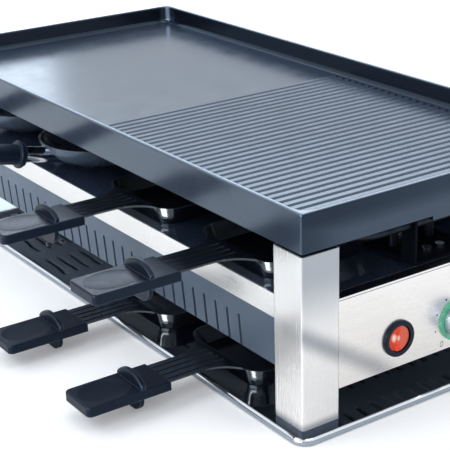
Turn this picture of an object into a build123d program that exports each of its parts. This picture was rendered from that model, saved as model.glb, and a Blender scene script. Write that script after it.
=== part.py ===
from build123d import *
import math
import os

# Two-level raclette grill with a lift-off plate, in millimetres.
# +X points to the control end, +Y from the near long side to the far one, +Z up.
# The origin is the middle of the footprint, on the table.

# Shared fits
fit_gap = 0.3            # between pieces that move apart
seat_gap = 0.1           # between pieces that stay together
running_gap = 0.05       # radial, between a pin or shaft and its hole
overrun = 1.0            # how far a cutting solid passes the face it opens

# Grill plate
plate_length = 520.0
plate_width = 244.0
skirt_height = 24.0
skirt_wall = 3.5
skirt_corner_radius = 1.8
hollow_corner_radius = 1.5  # inside the skirt
skirt_edge_radius = 1.4
trough_depth = 15.0
trough_corner_radius = 9.0
trough_floor_radius = 4.0
plate_floor = 4.0
lip_drop = 2.8
lip_length = 48.0
rib_pitch = 7.7
rib_width = 4.9
rib_height = 1.6
rib_draft_angle = 14.0
rib_end_margin = 1.5

# Corner posts
post_side = 27.5
post_wall = 1.0
post_corner_radius = 1.6
post_foot_height = 5.5
post_gap_under_skirt = 2.0
head_side = 18.0
head_corner_radius = 3.0
core_wall = 2.4
core_boss_radius = 4.5
core_roof = 8.0

# Base tray
tray_margin = 3.0
tray_corner_radius = 10.0
tray_edge_radius = 2.6
tray_sheet = 1.2
tray_rim_lift = 0.8
deck_z = 4.5
pad_radius = 9.0
pad_inset_x = 45.0
pad_inset_y = 22.0

# Heights, from the tray's deck up to the plate
parking_height = 21.0    # from the deck to the housing's lower edge
housing_height = 58.5
bay_height = 42.0        # from the shelf to the plate's underside

# Housing between the posts
panel_inset = 6.0
panel_sheet = 1.2
shelf_sheet = 1.8
flange_depth = 8.0
hem_height = 2.4
hem_proud = 0.4
strip_sheet = 1.0
strip_height = 15.3
wall_sheet = 2.0
wall_slope_run = 2.7     # how far the slotted wall leans in, from its groove to its bend
wall_bend_lift = 9.0     # of the bend over the housing's lower edge
toe_run = 8.0            # how far the wall's toe runs in under the bend
groove_height = 0.9
groove_depth = 1.2
slot_pitch = 12.8
slot_width = 2.6
slot_height = 21.5       # over the bend
slot_end_margin = 45.0
bottom_plate_lift = 4.0
bottom_sheet = 2.0
ledge_depth = 5.0
vent_land = 20.0
vent_width = 4.6
vent_pitch = 10.8
vent_edge_margin = 5.0

# Controls
control_height = 18.5    # of the knob's axis over the housing's lower edge
knob_y = 4.0
knob_base_radius = 11.0
knob_front_radius = 10.3
knob_length = 15.0
knob_edge_radius = 1.4
knob_bore_depth = 10.0
knob_zero_angle = 140.6  # the pointer's off position, from straight up towards the near side
pointer_width = 1.6
pointer_depth = 0.9
shaft_radius = 3.0
shaft_depth = 12.0
ring_outer_radius = 14.0
ring_height = 1.1
thermostat_side = 24.0
thermostat_depth = 20.0
thermostat_corner_radius = 2.0
switch_y = -44.2
switch_rise = 0.9        # of its axis over the knob's
bezel_radius = 11.8
bezel_height = 2.0
bezel_edge_radius = 0.8
switch_body_radius = 10.0
switch_body_depth = 18.0
rocker_radius = 8.3
rocker_bore_radius = 8.75
rocker_bore_depth = 8.6
rocker_half_height = 2.0
rocker_ridge = 1.3
rocker_pivot_depth = 2.2
rocker_tilt_angle = 7.0
rocker_pin_radius = 1.0
rocker_pin_reach = 9.5
blade_length = 7.0
blade_width = 6.3
blade_sheet = 0.8
blade_pitch = 6.0
grommet_inset = 34.2
grommet_radius = 7.0
grommet_flange_radius = 9.5
grommet_flange_height = 2.2
grommet_dimple_radius = 3.6
grommet_dimple_depth = 1.2

# Heating element
tube_radius = 3.25
tube_drop = 16.0         # of its axis under the plate
tube_end_inset = 20.0
tube_far_inset = 24.0
tube_side_inset = 47.0
tube_inner_y = 15.0
tube_leg_inset = 45.0
tube_leg_bend_radius = 10.0
leg_seat_depth = 9.0
bracket_width = 12.0
bracket_sheet = 2.0
bracket_foot = 11.0
bracket_crown = 2.4
bracket_near_y = 24.0
base_length = 44.0       # of the plate that joins the two brackets at the control end
base_screw_inset = 6.4   # of its screws from the element's end
base_screw_span = 26.3
base_screw_half_pitch = 5.4
block_length = 20.0
block_width = 50.0
block_height = 18.0

# Screws
post_screw_radius = 2.0
post_screw_length = 16.0
post_screw_head_radius = 3.6
post_screw_head_height = 2.0
bracket_screw_radius = 1.5
bracket_screw_length = 8.0
bracket_screw_head_radius = 3.0
bracket_screw_head_height = 2.0
screw_gap = 0.1

# Wires inside the housing
wire_radius = 1.1
wire_bend_radius = 8.0
lead_bend_radius = 3.5
wire_rise_length = 20.0
wire_spacing = 5.0

# Raclette pan and its handle, drawn with the handle towards -Y
pan_spacing = 36.25      # between neighbouring bowls
pan_inset = 5.0          # of the bowls' outer edge from the side strips
pan_middle_gap = 27.0    # from the grill's middle line to the bowls' inner edge
pan_taper = 4.0
pan_depth = 12.0
pan_sheet = 1.2
pan_rim_corner_radius = 14.5
pan_base_corner_radius = 12.0
neck_half_width = 13.3
neck_flare_radius = 26.0
neck_flare_angle = 65.0
neck_length = 23.4
neck_rib_width = 1.4
neck_rib_height = 0.4
neck_rib_spacing = 6.0
neck_rib_count = 4
neck_rib_margin = 3.0
tongue_length = 24.0
handle_width = 31.0
handle_length = 58.5
handle_thickness = 6.2
handle_rise = 0.9        # of its top over the rim
handle_corner_radius = 3.6
handle_edge_radius = 1.2
thumb_width = 30.0       # of the ball that presses the thumb's dip
thumb_length = 40.0
thumb_depth = 1.1
thumb_offset = 20.0
guard_offset = 19.5
guard_rise = 8.0
guard_sheet = 3.0
guard_edge_radius = 1.8  # of its arched edge on the user's side
tab_half_width = 12.5
tab_drop = 10.6
tab_corner_radius = 9.0

# Round wok, its chrome ferrule and its grip
wok_spacing = 26.25      # between neighbouring rims
wok_overhang = 0.5       # of the rims past the side strips
wok_headroom = 2.0       # under the heating element
wok_sheet = 1.4
wok_base_radius = 20.0
wok_step_radius = 25.0
wok_step_height = 3.0
wok_bulge_radius_share = 0.84
wok_bulge_height_share = 0.46
ferrule_radius = 6.0
ferrule_wall = 0.9
ferrule_drop = 7.1       # of its axis under the rim, where it passes it
ferrule_rise_angle = 11.6
grip_start = 20.8
grip_length = 62.0
grip_radius = 7.6
grip_end_radius = 5.0
grip_flange_radius = 10.3
grip_flange_height = 3.6
grip_step_radius = 9.0
grip_step_height = 1.4
grip_pocket_depth = 14.0

# Places of the pans and woks, as shares of the bay pitch between the posts
bay_count = 4
pan_place_shares = (1.5, 0.5)
wok_place_shares = (-0.5, -1.5)
parked_shift = (-17.1, -6.1)

# Derived sizes
half_length = plate_length / 2
half_width = plate_width / 2
housing_bottom_z = deck_z + parking_height
housing_top_z = housing_bottom_z + housing_height
plate_under_z = housing_top_z + bay_height
cook_z = plate_under_z + plate_floor
plate_top_z = cook_z + trough_depth
skirt_bottom_z = plate_top_z - skirt_height
post_x = half_length - post_side / 2
post_y = half_width - post_side / 2
post_bottom_z = deck_z + post_foot_height
post_top_z = skirt_bottom_z - post_gap_under_skirt
bay_half_length = half_length - post_side - fit_gap
bay_half_width = half_width - post_side - fit_gap
bay_pitch = (plate_length - 2 * post_side) / bay_count
panel_x = half_length - panel_inset
panel_inner_x = panel_x - panel_sheet
strip_y = half_width - panel_inset
strip_bottom_z = housing_top_z - strip_height
wall_top_y = strip_y - strip_sheet
wall_top_z = housing_top_z - shelf_sheet
groove_z = strip_bottom_z - groove_height
bend_y = wall_top_y - wall_slope_run
bend_z = housing_bottom_z + wall_bend_lift
slot_top_z = bend_z + slot_height
bottom_plate_z = housing_bottom_z + bottom_plate_lift
bottom_top_z = bottom_plate_z + bottom_sheet
toe_y = bend_y - toe_run
toe_z = bottom_plate_z - bottom_sheet
wall_lean = wall_slope_run / (groove_z - bend_z)
wall_across = wall_sheet * math.hypot(1, wall_lean)
toe_slope = toe_run / (bend_z - toe_z)
toe_across = wall_sheet * math.hypot(1, toe_slope)
toe_inner_y = toe_y - toe_across + toe_slope * bottom_sheet
vent_length = bay_pitch / 2 - vent_land
control_z = housing_bottom_z + control_height
switch_z = control_z + switch_rise
grommet_y = bay_half_width - grommet_inset
wire_z = (bottom_top_z + wall_top_z) / 2
tube_z = plate_under_z - tube_drop
tube_end_x = half_length - tube_end_inset
tube_far_x = half_length - tube_far_inset
tube_leg_x = half_length - tube_leg_inset
tube_outer_y = half_width - tube_side_inset
tube_bend_radius = (tube_outer_y - tube_inner_y) / 2 - bracket_sheet
pan_rest_z = housing_top_z + fit_gap
parked_rest_z = deck_z + fit_gap
pan_width = bay_pitch - pan_spacing
pan_reach = strip_y - pan_inset
pan_length = pan_reach - pan_middle_gap
pan_end_y = -pan_length / 2
flare_start_y = pan_end_y + pan_sheet - neck_flare_radius * math.sin(math.radians(neck_flare_angle))
handle_inner_y = flare_start_y - neck_length
handle_top = pan_depth + handle_rise
handle_bottom = handle_top - handle_thickness
wok_radius = (bay_pitch - wok_spacing) / 2
wok_reach = strip_y + wok_overhang
wok_depth = tube_z - tube_radius - wok_headroom - pan_rest_z
handle_outer_y = handle_inner_y - handle_length
rocker_pivot_x = panel_x - rocker_pivot_depth
knob_base_x = panel_x + fit_gap
ring_inner_radius = knob_base_radius + fit_gap

corners = (
    ("control_near", 1, -1),
    ("control_far", 1, 1),
    ("cord_near", -1, -1),
    ("cord_far", -1, 1),
)
sides = (("near", -1), ("far", 1))


def block(x0, x1, y0, y1, z0, z1):
    """A box between two corners."""
    centre = Pos((x0 + x1) / 2, (y0 + y1) / 2, (z0 + z1) / 2)
    return centre * Box(abs(x1 - x0), abs(y1 - y0), abs(z1 - z0))


def peg(x, y, z0, z1, radius):
    """An upright cylinder."""
    return Pos(x, y, (z0 + z1) / 2) * Cylinder(radius, abs(z1 - z0))


def peg_x(x0, x1, y, z, radius):
    """A cylinder along X."""
    return Pos((x0 + x1) / 2, y, z) * Rot(0, 90, 0) * Cylinder(radius, abs(x1 - x0))


def tube_along(path, radius):
    """A round bar along a path."""
    return sweep(Plane(origin=path @ 0, z_dir=path % 0) * Circle(radius), path=path)


def side_of(sign, solid):
    """The solid as drawn for the near side, or turned half round for the far side."""
    return solid if sign < 0 else Rot(0, 0, 180) * solid


# Base tray
def base_tray():
    length = plate_length + 2 * tray_margin
    width = plate_width + 2 * tray_margin
    height = deck_z - tray_rim_lift
    outer = extrude(RectangleRounded(length, width, tray_corner_radius), amount=height)
    outer = fillet(outer.faces().sort_by(Axis.Z)[-1].edges(), tray_edge_radius)
    inner = extrude(
        RectangleRounded(
            length - 2 * tray_sheet, width - 2 * tray_sheet, tray_corner_radius - tray_sheet
        ),
        amount=height - tray_sheet,
    )
    inner = fillet(inner.faces().sort_by(Axis.Z)[-1].edges(), tray_edge_radius - tray_sheet)
    tray = Pos(0, 0, tray_rim_lift) * (outer - inner)
    holes = [
        peg(sx * post_x, sy * post_y, 0, deck_z + overrun, post_screw_radius + screw_gap)
        for _, sx, sy in corners
    ]
    return tray - holes


def tray_pads():
    xs = (-(half_length - pad_inset_x), 0, half_length - pad_inset_x)
    ys = (-(half_width - pad_inset_y), half_width - pad_inset_y)
    return Compound([peg(x, y, 0, deck_z - tray_sheet, pad_radius) for x in xs for y in ys])


# Corner posts
def corner_post(sx, sy):
    outer = RectangleRounded(post_side, post_side, post_corner_radius)
    inner = RectangleRounded(
        post_side - 2 * post_wall, post_side - 2 * post_wall, post_corner_radius - post_wall
    )
    shell = extrude(outer - inner, amount=post_top_z - post_bottom_z)
    return Pos(sx * post_x, sy * post_y, post_bottom_z) * shell


def post_core(sx, sy):
    column_side = post_side - 2 * (post_wall + seat_gap)
    foot = extrude(RectangleRounded(post_side, post_side, post_corner_radius), amount=post_foot_height)
    column = extrude(
        RectangleRounded(column_side, column_side, post_corner_radius - post_wall),
        amount=post_top_z - deck_z,
    )
    head = Pos(0, 0, post_top_z - deck_z) * extrude(
        RectangleRounded(head_side, head_side, head_corner_radius),
        amount=plate_under_z - fit_gap - post_top_z,
    )
    pocket_side = column_side - 2 * core_wall
    pocket_height = post_top_z - deck_z - core_roof
    pocket = extrude(Rectangle(pocket_side, pocket_side) - Circle(core_boss_radius), amount=pocket_height)
    pilot = peg(0, 0, -overrun, post_screw_length, post_screw_radius + screw_gap)
    return Pos(sx * post_x, sy * post_y, deck_z) * (foot + column + head - pocket - pilot)


def post_screws():
    head_top = deck_z - tray_sheet
    screws = []
    for _, sx, sy in corners:
        head = peg(
            sx * post_x, sy * post_y, head_top - post_screw_head_height, head_top, post_screw_head_radius
        )
        shank = peg(sx * post_x, sy * post_y, head_top, head_top + post_screw_length, post_screw_radius)
        screws.append(head + shank)
    return Compound(screws)


# Housing
def housing_wall(sign):
    inner_bend_rise = (toe_across - wall_across) / (toe_slope - wall_lean)
    outline = (
        (toe_y, toe_z),
        (bend_y, bend_z),
        (wall_top_y, groove_z),
        (wall_top_y - groove_depth, groove_z),
        (wall_top_y - groove_depth, strip_bottom_z),
        (wall_top_y, strip_bottom_z),
        (wall_top_y, wall_top_z),
        (wall_top_y - wall_across - groove_depth, wall_top_z),
        (wall_top_y - wall_across - groove_depth, groove_z - wall_sheet),
        (bend_y - wall_across + inner_bend_rise * wall_lean, bend_z + inner_bend_rise),
        (toe_inner_y, bottom_plate_z),
        (toe_inner_y - ledge_depth, bottom_plate_z),
        (toe_inner_y - ledge_depth, toe_z),
    )
    points = [(0, -y, z) for y, z in outline]
    wall = extrude(make_face(Polyline(*points, close=True)), amount=bay_half_length, both=True)
    count = int((bay_half_length - slot_end_margin) / slot_pitch + 0.5)
    slots = [
        block(
            (k + 0.5) * slot_pitch - slot_width / 2, (k + 0.5) * slot_pitch + slot_width / 2,
            -strip_y, -bend_y + 2 * wall_across, bend_z, slot_top_z,
        )
        for k in range(-count, count)
    ]
    return side_of(sign, wall - slots)


def side_strip(sign):
    strip = block(-bay_half_length, bay_half_length, -strip_y, -strip_y + strip_sheet,
                  strip_bottom_z, housing_top_z)
    return side_of(sign, strip)


def upper_shelf():
    flange_x = panel_x - flange_depth - seat_gap
    long_part = block(-flange_x, flange_x, -bay_half_width, bay_half_width, wall_top_z, housing_top_z)
    wide_part = block(-bay_half_length, bay_half_length, -wall_top_y, wall_top_y, wall_top_z, housing_top_z)
    shelf = long_part + wide_part
    holes = [
        peg(tube_leg_x, sy * tube_inner_y, wall_top_z - overrun, housing_top_z + overrun,
            tube_radius + fit_gap)
        for sy in (-1, 1)
    ]
    holes += [
        peg(x, y, wall_top_z - overrun, housing_top_z + overrun, bracket_screw_radius + screw_gap)
        for x, y in bracket_screw_places()
    ]
    return shelf - holes


def panel_blank():
    """A sheet panel at the control end, with its top flange and hem."""
    sheet = block(panel_inner_x, panel_x, -bay_half_width, bay_half_width, housing_bottom_z, housing_top_z)
    flange = block(panel_x - flange_depth, panel_x, -bay_half_width, bay_half_width,
                   housing_top_z - panel_sheet, housing_top_z)
    hem = block(panel_x, panel_x + hem_proud, -bay_half_width, bay_half_width,
                housing_top_z - hem_height, housing_top_z)
    return sheet + flange + hem


def control_panel():
    shaft_hole = peg_x(panel_inner_x - overrun, panel_x + overrun, knob_y, control_z,
                       shaft_radius + fit_gap)
    switch_hole = peg_x(panel_inner_x - overrun, panel_x + overrun, switch_y, switch_z,
                        switch_body_radius + seat_gap)
    return panel_blank() - shaft_hole - switch_hole


def cord_end_panel():
    hole = peg_x(panel_inner_x - overrun, panel_x + overrun, -grommet_y, control_z,
                 grommet_radius + seat_gap)
    return Rot(0, 0, 180) * (panel_blank() - hole)


def housing_bottom():
    half_y = toe_inner_y - seat_gap
    half_x = panel_inner_x - seat_gap
    long_part = block(-half_x, half_x, -bay_half_width, bay_half_width, bottom_plate_z, bottom_top_z)
    wide_part = block(-bay_half_length, bay_half_length, -half_y, half_y, bottom_plate_z, bottom_top_z)
    plate = long_part + wide_part
    column_pitch = bay_pitch / 2
    vents = []
    for column in range(-bay_count, bay_count + 1):
        x = column * column_pitch
        at_post = abs(x) + vent_length / 2 > bay_half_length
        limit = (bay_half_width if at_post else half_y) - vent_edge_margin - ledge_depth * (not at_post)
        stagger = vent_pitch / 2 if column % 2 else 0
        rows = int((limit + stagger) / vent_pitch)
        for row in range(-rows, rows + 1):
            y = row * vent_pitch + stagger
            if abs(y) + vent_width / 2 <= limit:
                vents.append(Pos(x, y) * SlotOverall(vent_length, vent_width))
    cutter = extrude(Pos(0, 0, bottom_plate_z - overrun) * (Sketch() + vents),
                     amount=bottom_sheet + 2 * overrun)
    return plate - cutter


# Grill plate
def grill_plate():
    body = Pos(0, 0, skirt_bottom_z) * extrude(
        RectangleRounded(plate_length, plate_width, skirt_corner_radius), amount=skirt_height
    )
    lips = [
        block(sx * half_length, sx * (half_length - skirt_wall), -lip_length / 2, lip_length / 2,
              skirt_bottom_z - lip_drop, skirt_bottom_z)
        for sx in (-1, 1)
    ]
    inner_length = plate_length - 2 * skirt_wall
    inner_width = plate_width - 2 * skirt_wall
    trough = extrude(RectangleRounded(inner_length, inner_width, trough_corner_radius),
                     amount=trough_depth + overrun)
    trough = fillet(trough.faces().sort_by(Axis.Z)[0].edges(), trough_floor_radius)
    trough = Pos(0, 0, cook_z) * trough
    hollow = Pos(0, 0, skirt_bottom_z - overrun) * extrude(
        RectangleRounded(inner_length, inner_width, hollow_corner_radius),
        amount=plate_under_z - skirt_bottom_z + overrun,
    )
    plate = body - trough - hollow + lips
    rim_edges = plate.faces().filter_by(Axis.Z).sort_by(Axis.Z)[-1].edges()
    plate = fillet(rim_edges, skirt_edge_radius)
    rib_room = inner_length / 2 - trough_floor_radius - rib_end_margin
    rib_count = int(rib_room / rib_pitch)
    rib_length = inner_width - 2 * (trough_floor_radius + rib_end_margin)
    rib = extrude(Rot(0, 0, 90) * SlotOverall(rib_length, rib_width), amount=rib_height,
                  taper=rib_draft_angle)
    ribs = [Pos((k + 0.5) * rib_pitch, 0, cook_z) * rib for k in range(rib_count)]
    return plate + ribs


# Heating element
def bracket_places():
    far_y = (tube_inner_y + tube_outer_y) / 2
    return (
        (tube_end_x, -bracket_near_y), (tube_end_x, bracket_near_y),
        (-tube_far_x, -far_y), (-tube_far_x, far_y),
    )


def bracket_screw_places():
    """Four screws in the control end's base plate, and one in each foot at the cord end."""
    base_xs = (tube_end_x - base_screw_inset, tube_end_x - base_screw_inset - base_screw_span)
    base = [(x, knob_y / 2 + step) for x in base_xs
            for step in (-base_screw_half_pitch, base_screw_half_pitch)]
    step = bracket_sheet / 2 + bracket_foot / 2
    feet = [(x, y + math.copysign(step, y)) for x, y in bracket_places() if x < 0]
    return base + feet


def heating_element():
    bottom_z = bottom_top_z + block_height - leg_seat_depth
    half = (
        (tube_leg_x, tube_inner_y, bottom_z),
        (tube_leg_x, tube_inner_y, tube_z),
        (-tube_far_x, tube_inner_y, tube_z),
        (-tube_far_x, tube_outer_y, tube_z),
        (tube_end_x, tube_outer_y, tube_z),
    )
    other = [(x, -y, z) for x, y, z in reversed(half)]
    radii = [tube_leg_bend_radius] + [tube_bend_radius] * 6 + [tube_leg_bend_radius]
    return tube_along(FilletPolyline(*half, *other, radius=radii), tube_radius)


def element_brackets():
    """One bracket with two uprights at the control end, and two single ones at the cord end."""
    base_x = tube_end_x + bracket_width / 2
    base_y = bracket_near_y + bracket_sheet / 2
    base = block(base_x - base_length, base_x, -base_y, base_y, housing_top_z,
                 housing_top_z + bracket_sheet)
    feet = []
    uprights = []
    tube_holes = []
    for x, y in bracket_places():
        uprights.append(block(x - bracket_width / 2, x + bracket_width / 2,
                              y - bracket_sheet / 2, y + bracket_sheet / 2,
                              housing_top_z, tube_z + tube_radius + bracket_crown))
        tube_holes.append(Pos(x, y, tube_z) * Rot(90, 0, 0) * Cylinder(
            tube_radius + seat_gap, bracket_sheet + 2 * overrun))
        if x < 0:
            outer_y = y + math.copysign(bracket_sheet / 2 + bracket_foot, y)
            feet.append(block(x - bracket_width / 2, x + bracket_width / 2, y, outer_y,
                              housing_top_z, housing_top_z + bracket_sheet))
    under, over = housing_top_z - overrun, housing_top_z + bracket_sheet + overrun
    screw_holes = [peg(x, y, under, over, bracket_screw_radius + screw_gap)
                   for x, y in bracket_screw_places()]
    leg_holes = [peg(tube_leg_x, sy * tube_inner_y, under, over, tube_radius + fit_gap)
                 for sy in (-1, 1)]
    cuts = tube_holes + screw_holes + leg_holes
    control_end = base + uprights[0] + uprights[1] - cuts
    cord_end = [foot + upright - cuts for foot, upright in zip(feet, uprights[2:])]
    return Compound([control_end] + cord_end)


def bracket_screws():
    seat_z = housing_top_z + bracket_sheet
    screws = []
    for x, y in bracket_screw_places():
        head = peg(x, y, seat_z, seat_z + bracket_screw_head_height, bracket_screw_head_radius)
        shank = peg(x, y, seat_z - bracket_screw_length, seat_z, bracket_screw_radius)
        screws.append(head + shank)
    return Compound(screws)


def terminal_block():
    top = bottom_top_z + block_height
    body = block(tube_leg_x - block_length / 2, tube_leg_x + block_length / 2,
                 -block_width / 2, block_width / 2, bottom_top_z, top)
    holes = [
        peg(tube_leg_x, sy * tube_inner_y, top - leg_seat_depth, top + overrun, tube_radius + seat_gap)
        for sy in (-1, 1)
    ]
    return body - holes


# Controls
def thermostat():
    body = block(panel_inner_x - thermostat_depth, panel_inner_x,
                 knob_y - thermostat_side / 2, knob_y + thermostat_side / 2,
                 control_z - thermostat_side / 2, control_z + thermostat_side / 2)
    body = fillet(body.edges().filter_by(Axis.X), thermostat_corner_radius)
    bore = peg_x(panel_inner_x - shaft_depth - fit_gap, panel_inner_x + overrun, knob_y, control_z,
                 shaft_radius + running_gap)
    return body - bore


def thermostat_shaft():
    end_x = knob_base_x + knob_bore_depth - seat_gap
    return peg_x(panel_inner_x - shaft_depth, end_x, knob_y, control_z, shaft_radius)


def control_knob():
    grip = Pos(0, 0, knob_length / 2) * Cone(knob_base_radius, knob_front_radius, knob_length)
    grip = fillet(grip.edges().sort_by(Axis.Z)[-1], knob_edge_radius)
    bore = Cylinder(shaft_radius + seat_gap / 2, knob_bore_depth,
                    align=(Align.CENTER, Align.CENTER, Align.MIN))
    pointer = block(knob_front_radius / 3, knob_front_radius + overrun,
                    -pointer_width / 2, pointer_width / 2,
                    knob_length - pointer_depth, knob_length + overrun)
    turned = Rot(0, 90, 0) * Rot(0, 0, knob_zero_angle - 180)
    return Pos(knob_base_x, knob_y, control_z) * turned * (grip - bore - pointer)


def knob_light_ring():
    ring = extrude(Circle(ring_outer_radius) - Circle(ring_inner_radius), amount=ring_height)
    return Pos(panel_x, knob_y, control_z) * Rot(0, 90, 0) * ring


def switch_housing():
    front = panel_x + bezel_height
    bezel = Pos(panel_x + bezel_height / 2, switch_y, switch_z) * Rot(0, 90, 0) * Cylinder(
        bezel_radius, bezel_height)
    bezel = fillet(bezel.edges().sort_by(Axis.X)[-1], bezel_edge_radius)
    body = peg_x(panel_x - switch_body_depth, panel_x, switch_y, switch_z, switch_body_radius)
    bore = peg_x(front - rocker_bore_depth, front + overrun, switch_y, switch_z, rocker_bore_radius)
    pin_reach = rocker_pin_reach + seat_gap
    pins = peg(rocker_pivot_x, switch_y, switch_z - pin_reach, switch_z + pin_reach,
               rocker_pin_radius + running_gap)
    back_x = panel_x - switch_body_depth
    blades = [
        block(back_x - blade_length, back_x, switch_y + k * blade_pitch - blade_sheet / 2,
              switch_y + k * blade_pitch + blade_sheet / 2,
              switch_z - blade_width / 2, switch_z + blade_width / 2)
        for k in (-1, 0, 1)
    ]
    return bezel + body - bore - pins + blades


def switch_rocker():
    """A round rocker with a slight ridge, tipped to one side about its upright pins."""
    edge = rocker_half_height
    ridge = rocker_half_height + rocker_ridge
    outline = [(-edge, -rocker_radius), (edge, -rocker_radius), (ridge, 0),
               (edge, rocker_radius), (-edge, rocker_radius)]
    wedge = extrude(make_face(Polyline(*outline, close=True)), amount=rocker_radius, both=True)
    disc = Rot(0, 90, 0) * Cylinder(rocker_radius, 2 * (ridge + overrun))
    pins = Cylinder(rocker_pin_radius, 2 * rocker_pin_reach)
    rocker = Rot(0, 0, -rocker_tilt_angle) * ((wedge & disc) + pins)
    return Pos(rocker_pivot_x, switch_y, switch_z) * rocker


def cord_grommet():
    """A closed rubber grommet in the end panel, with a dimple where a cord would be led in."""
    outside = panel_x + grommet_flange_height
    inside = panel_inner_x - grommet_flange_height
    body = (
        peg_x(panel_x, outside, 0, 0, grommet_flange_radius)
        + peg_x(panel_inner_x, panel_x, 0, 0, grommet_radius)
        + peg_x(inside, panel_inner_x, 0, 0, grommet_flange_radius)
    )
    body = fillet(body.edges().sort_by(Axis.X)[-1], bezel_edge_radius)
    dimple = peg_x(outside - grommet_dimple_depth, outside + overrun, 0, 0, grommet_dimple_radius)
    return Rot(0, 0, 180) * Pos(0, -grommet_y, control_z) * (body - dimple)


def wiring():
    """The leads in the housing: grommet to switch and block, switch to thermostat, thermostat to block."""
    start_x = -panel_inner_x + grommet_flange_height + seat_gap
    rise_x = start_x + wire_rise_length
    run_x = rise_x + wire_rise_length
    blade_x = panel_x - switch_body_depth - blade_length - seat_gap
    block_x = tube_leg_x - block_length / 2 - seat_gap
    low_z = bottom_top_z + block_height / 2
    switch_lead_x = block_x - wire_bend_radius - wire_spacing
    block_lead_x = switch_lead_x - 2 * wire_bend_radius
    upper_z = wire_z + wire_spacing
    lead_y = switch_y - blade_pitch
    return_y = switch_y + blade_pitch
    turn = 2 * lead_bend_radius
    thermostat_near_y = knob_y - thermostat_side / 2 - seat_gap
    thermostat_mid_x = panel_inner_x - thermostat_depth / 2
    near_y = grommet_y - wire_spacing / 2
    far_y = grommet_y + wire_spacing / 2
    to_switch = FilletPolyline(
        (start_x, near_y, control_z), (rise_x, near_y, control_z), (run_x, near_y, wire_z),
        (switch_lead_x, near_y, wire_z), (switch_lead_x, lead_y, wire_z),
        (blade_x - turn, lead_y, switch_z), (blade_x, lead_y, switch_z),
        radius=lead_bend_radius,
    )
    to_block = FilletPolyline(
        (start_x, far_y, control_z), (rise_x, far_y, control_z), (run_x, far_y, upper_z),
        (block_lead_x, far_y, upper_z), (block_lead_x, tube_inner_y, upper_z),
        (block_lead_x, tube_inner_y, low_z), (block_x, tube_inner_y, low_z),
        radius=wire_bend_radius,
    )
    to_thermostat = FilletPolyline(
        (blade_x, return_y, switch_z), (blade_x - turn, return_y, switch_z),
        (blade_x - turn, return_y + turn, switch_z),
        (thermostat_mid_x, return_y + 2 * turn, control_z),
        (thermostat_mid_x, thermostat_near_y, control_z),
        radius=lead_bend_radius,
    )
    leads = [tube_along(path, wire_radius) for path in (to_switch, to_block, to_thermostat)]
    link = peg_x(tube_leg_x + block_length / 2 + seat_gap, panel_inner_x - thermostat_depth - seat_gap,
                 knob_y, low_z, wire_radius)
    return Compound(leads + [link])


# Raclette pans
def neck_outline(reach):
    """The flat neck with its flare, from the bowl to a distance behind the bowl's middle."""
    def on_flare(angle):
        turn = math.radians(angle)
        return (neck_half_width + neck_flare_radius * (1 - math.cos(turn)),
                flare_start_y + neck_flare_radius * math.sin(turn))

    tip = on_flare(neck_flare_angle)
    right = [
        Line((neck_half_width, -reach), on_flare(0)),
        ThreePointArc(on_flare(0), on_flare(neck_flare_angle / 2), tip),
    ]
    left = [mirror(line, about=Plane.YZ) for line in right]
    closing = [Line(tip, (-tip[0], tip[1])),
               Line((-neck_half_width, -reach), (neck_half_width, -reach))]
    return make_face(Curve() + right + left + closing)


def rounded(width, length, radius, shrink):
    """A rounded rectangle narrowed all round."""
    return RectangleRounded(width - 2 * shrink, length - 2 * shrink, radius - shrink)


def pan_form(shrink, floor):
    """The bowl's filled form up to its rim, narrowed all round."""
    base = Pos(0, 0, floor) * rounded(
        pan_width - 2 * pan_taper, pan_length - 2 * pan_taper, pan_base_corner_radius, shrink)
    rim = Pos(0, 0, pan_depth) * rounded(pan_width, pan_length, pan_rim_corner_radius, shrink)
    return loft([base, rim])


def pan():
    mouth = Pos(0, 0, pan_depth) * extrude(
        rounded(pan_width, pan_length, pan_rim_corner_radius, pan_sheet), amount=overrun)
    reach = -handle_inner_y + tongue_length
    neck = Pos(0, 0, pan_depth - pan_sheet) * extrude(neck_outline(reach), amount=pan_sheet)
    first = -(neck_rib_count - 1) / 2
    ribs = [
        block((first + k) * neck_rib_spacing - neck_rib_width / 2,
              (first + k) * neck_rib_spacing + neck_rib_width / 2,
              handle_inner_y + seat_gap, pan_end_y - neck_rib_margin,
              pan_depth, pan_depth + neck_rib_height)
        for k in range(neck_rib_count)
    ]
    return pan_form(0, 0) + neck - pan_form(pan_sheet, pan_sheet) - mouth + ribs


def finger_guard(guard_y):
    """The arched finger guard over the handle, rounded on the user's side."""
    half = handle_width / 2 - handle_edge_radius / 2
    side_rise = guard_rise / 3
    foot = 2 * handle_edge_radius
    arch = Polyline((-half, side_rise), (-half, -foot), (half, -foot), (half, side_rise))
    arch = arch + ThreePointArc((-half, side_rise), (0, guard_rise), (half, side_rise))
    upright = Plane(origin=(0, guard_y, handle_top), x_dir=(1, 0, 0), z_dir=(0, -1, 0))
    fin = extrude(upright * make_face(arch), amount=guard_sheet / 2, both=True)
    user_edges = fin.faces().sort_by(Axis.Y)[0].edges()
    return fillet(user_edges.sort_by(Axis.Z)[-1], guard_edge_radius)


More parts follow.
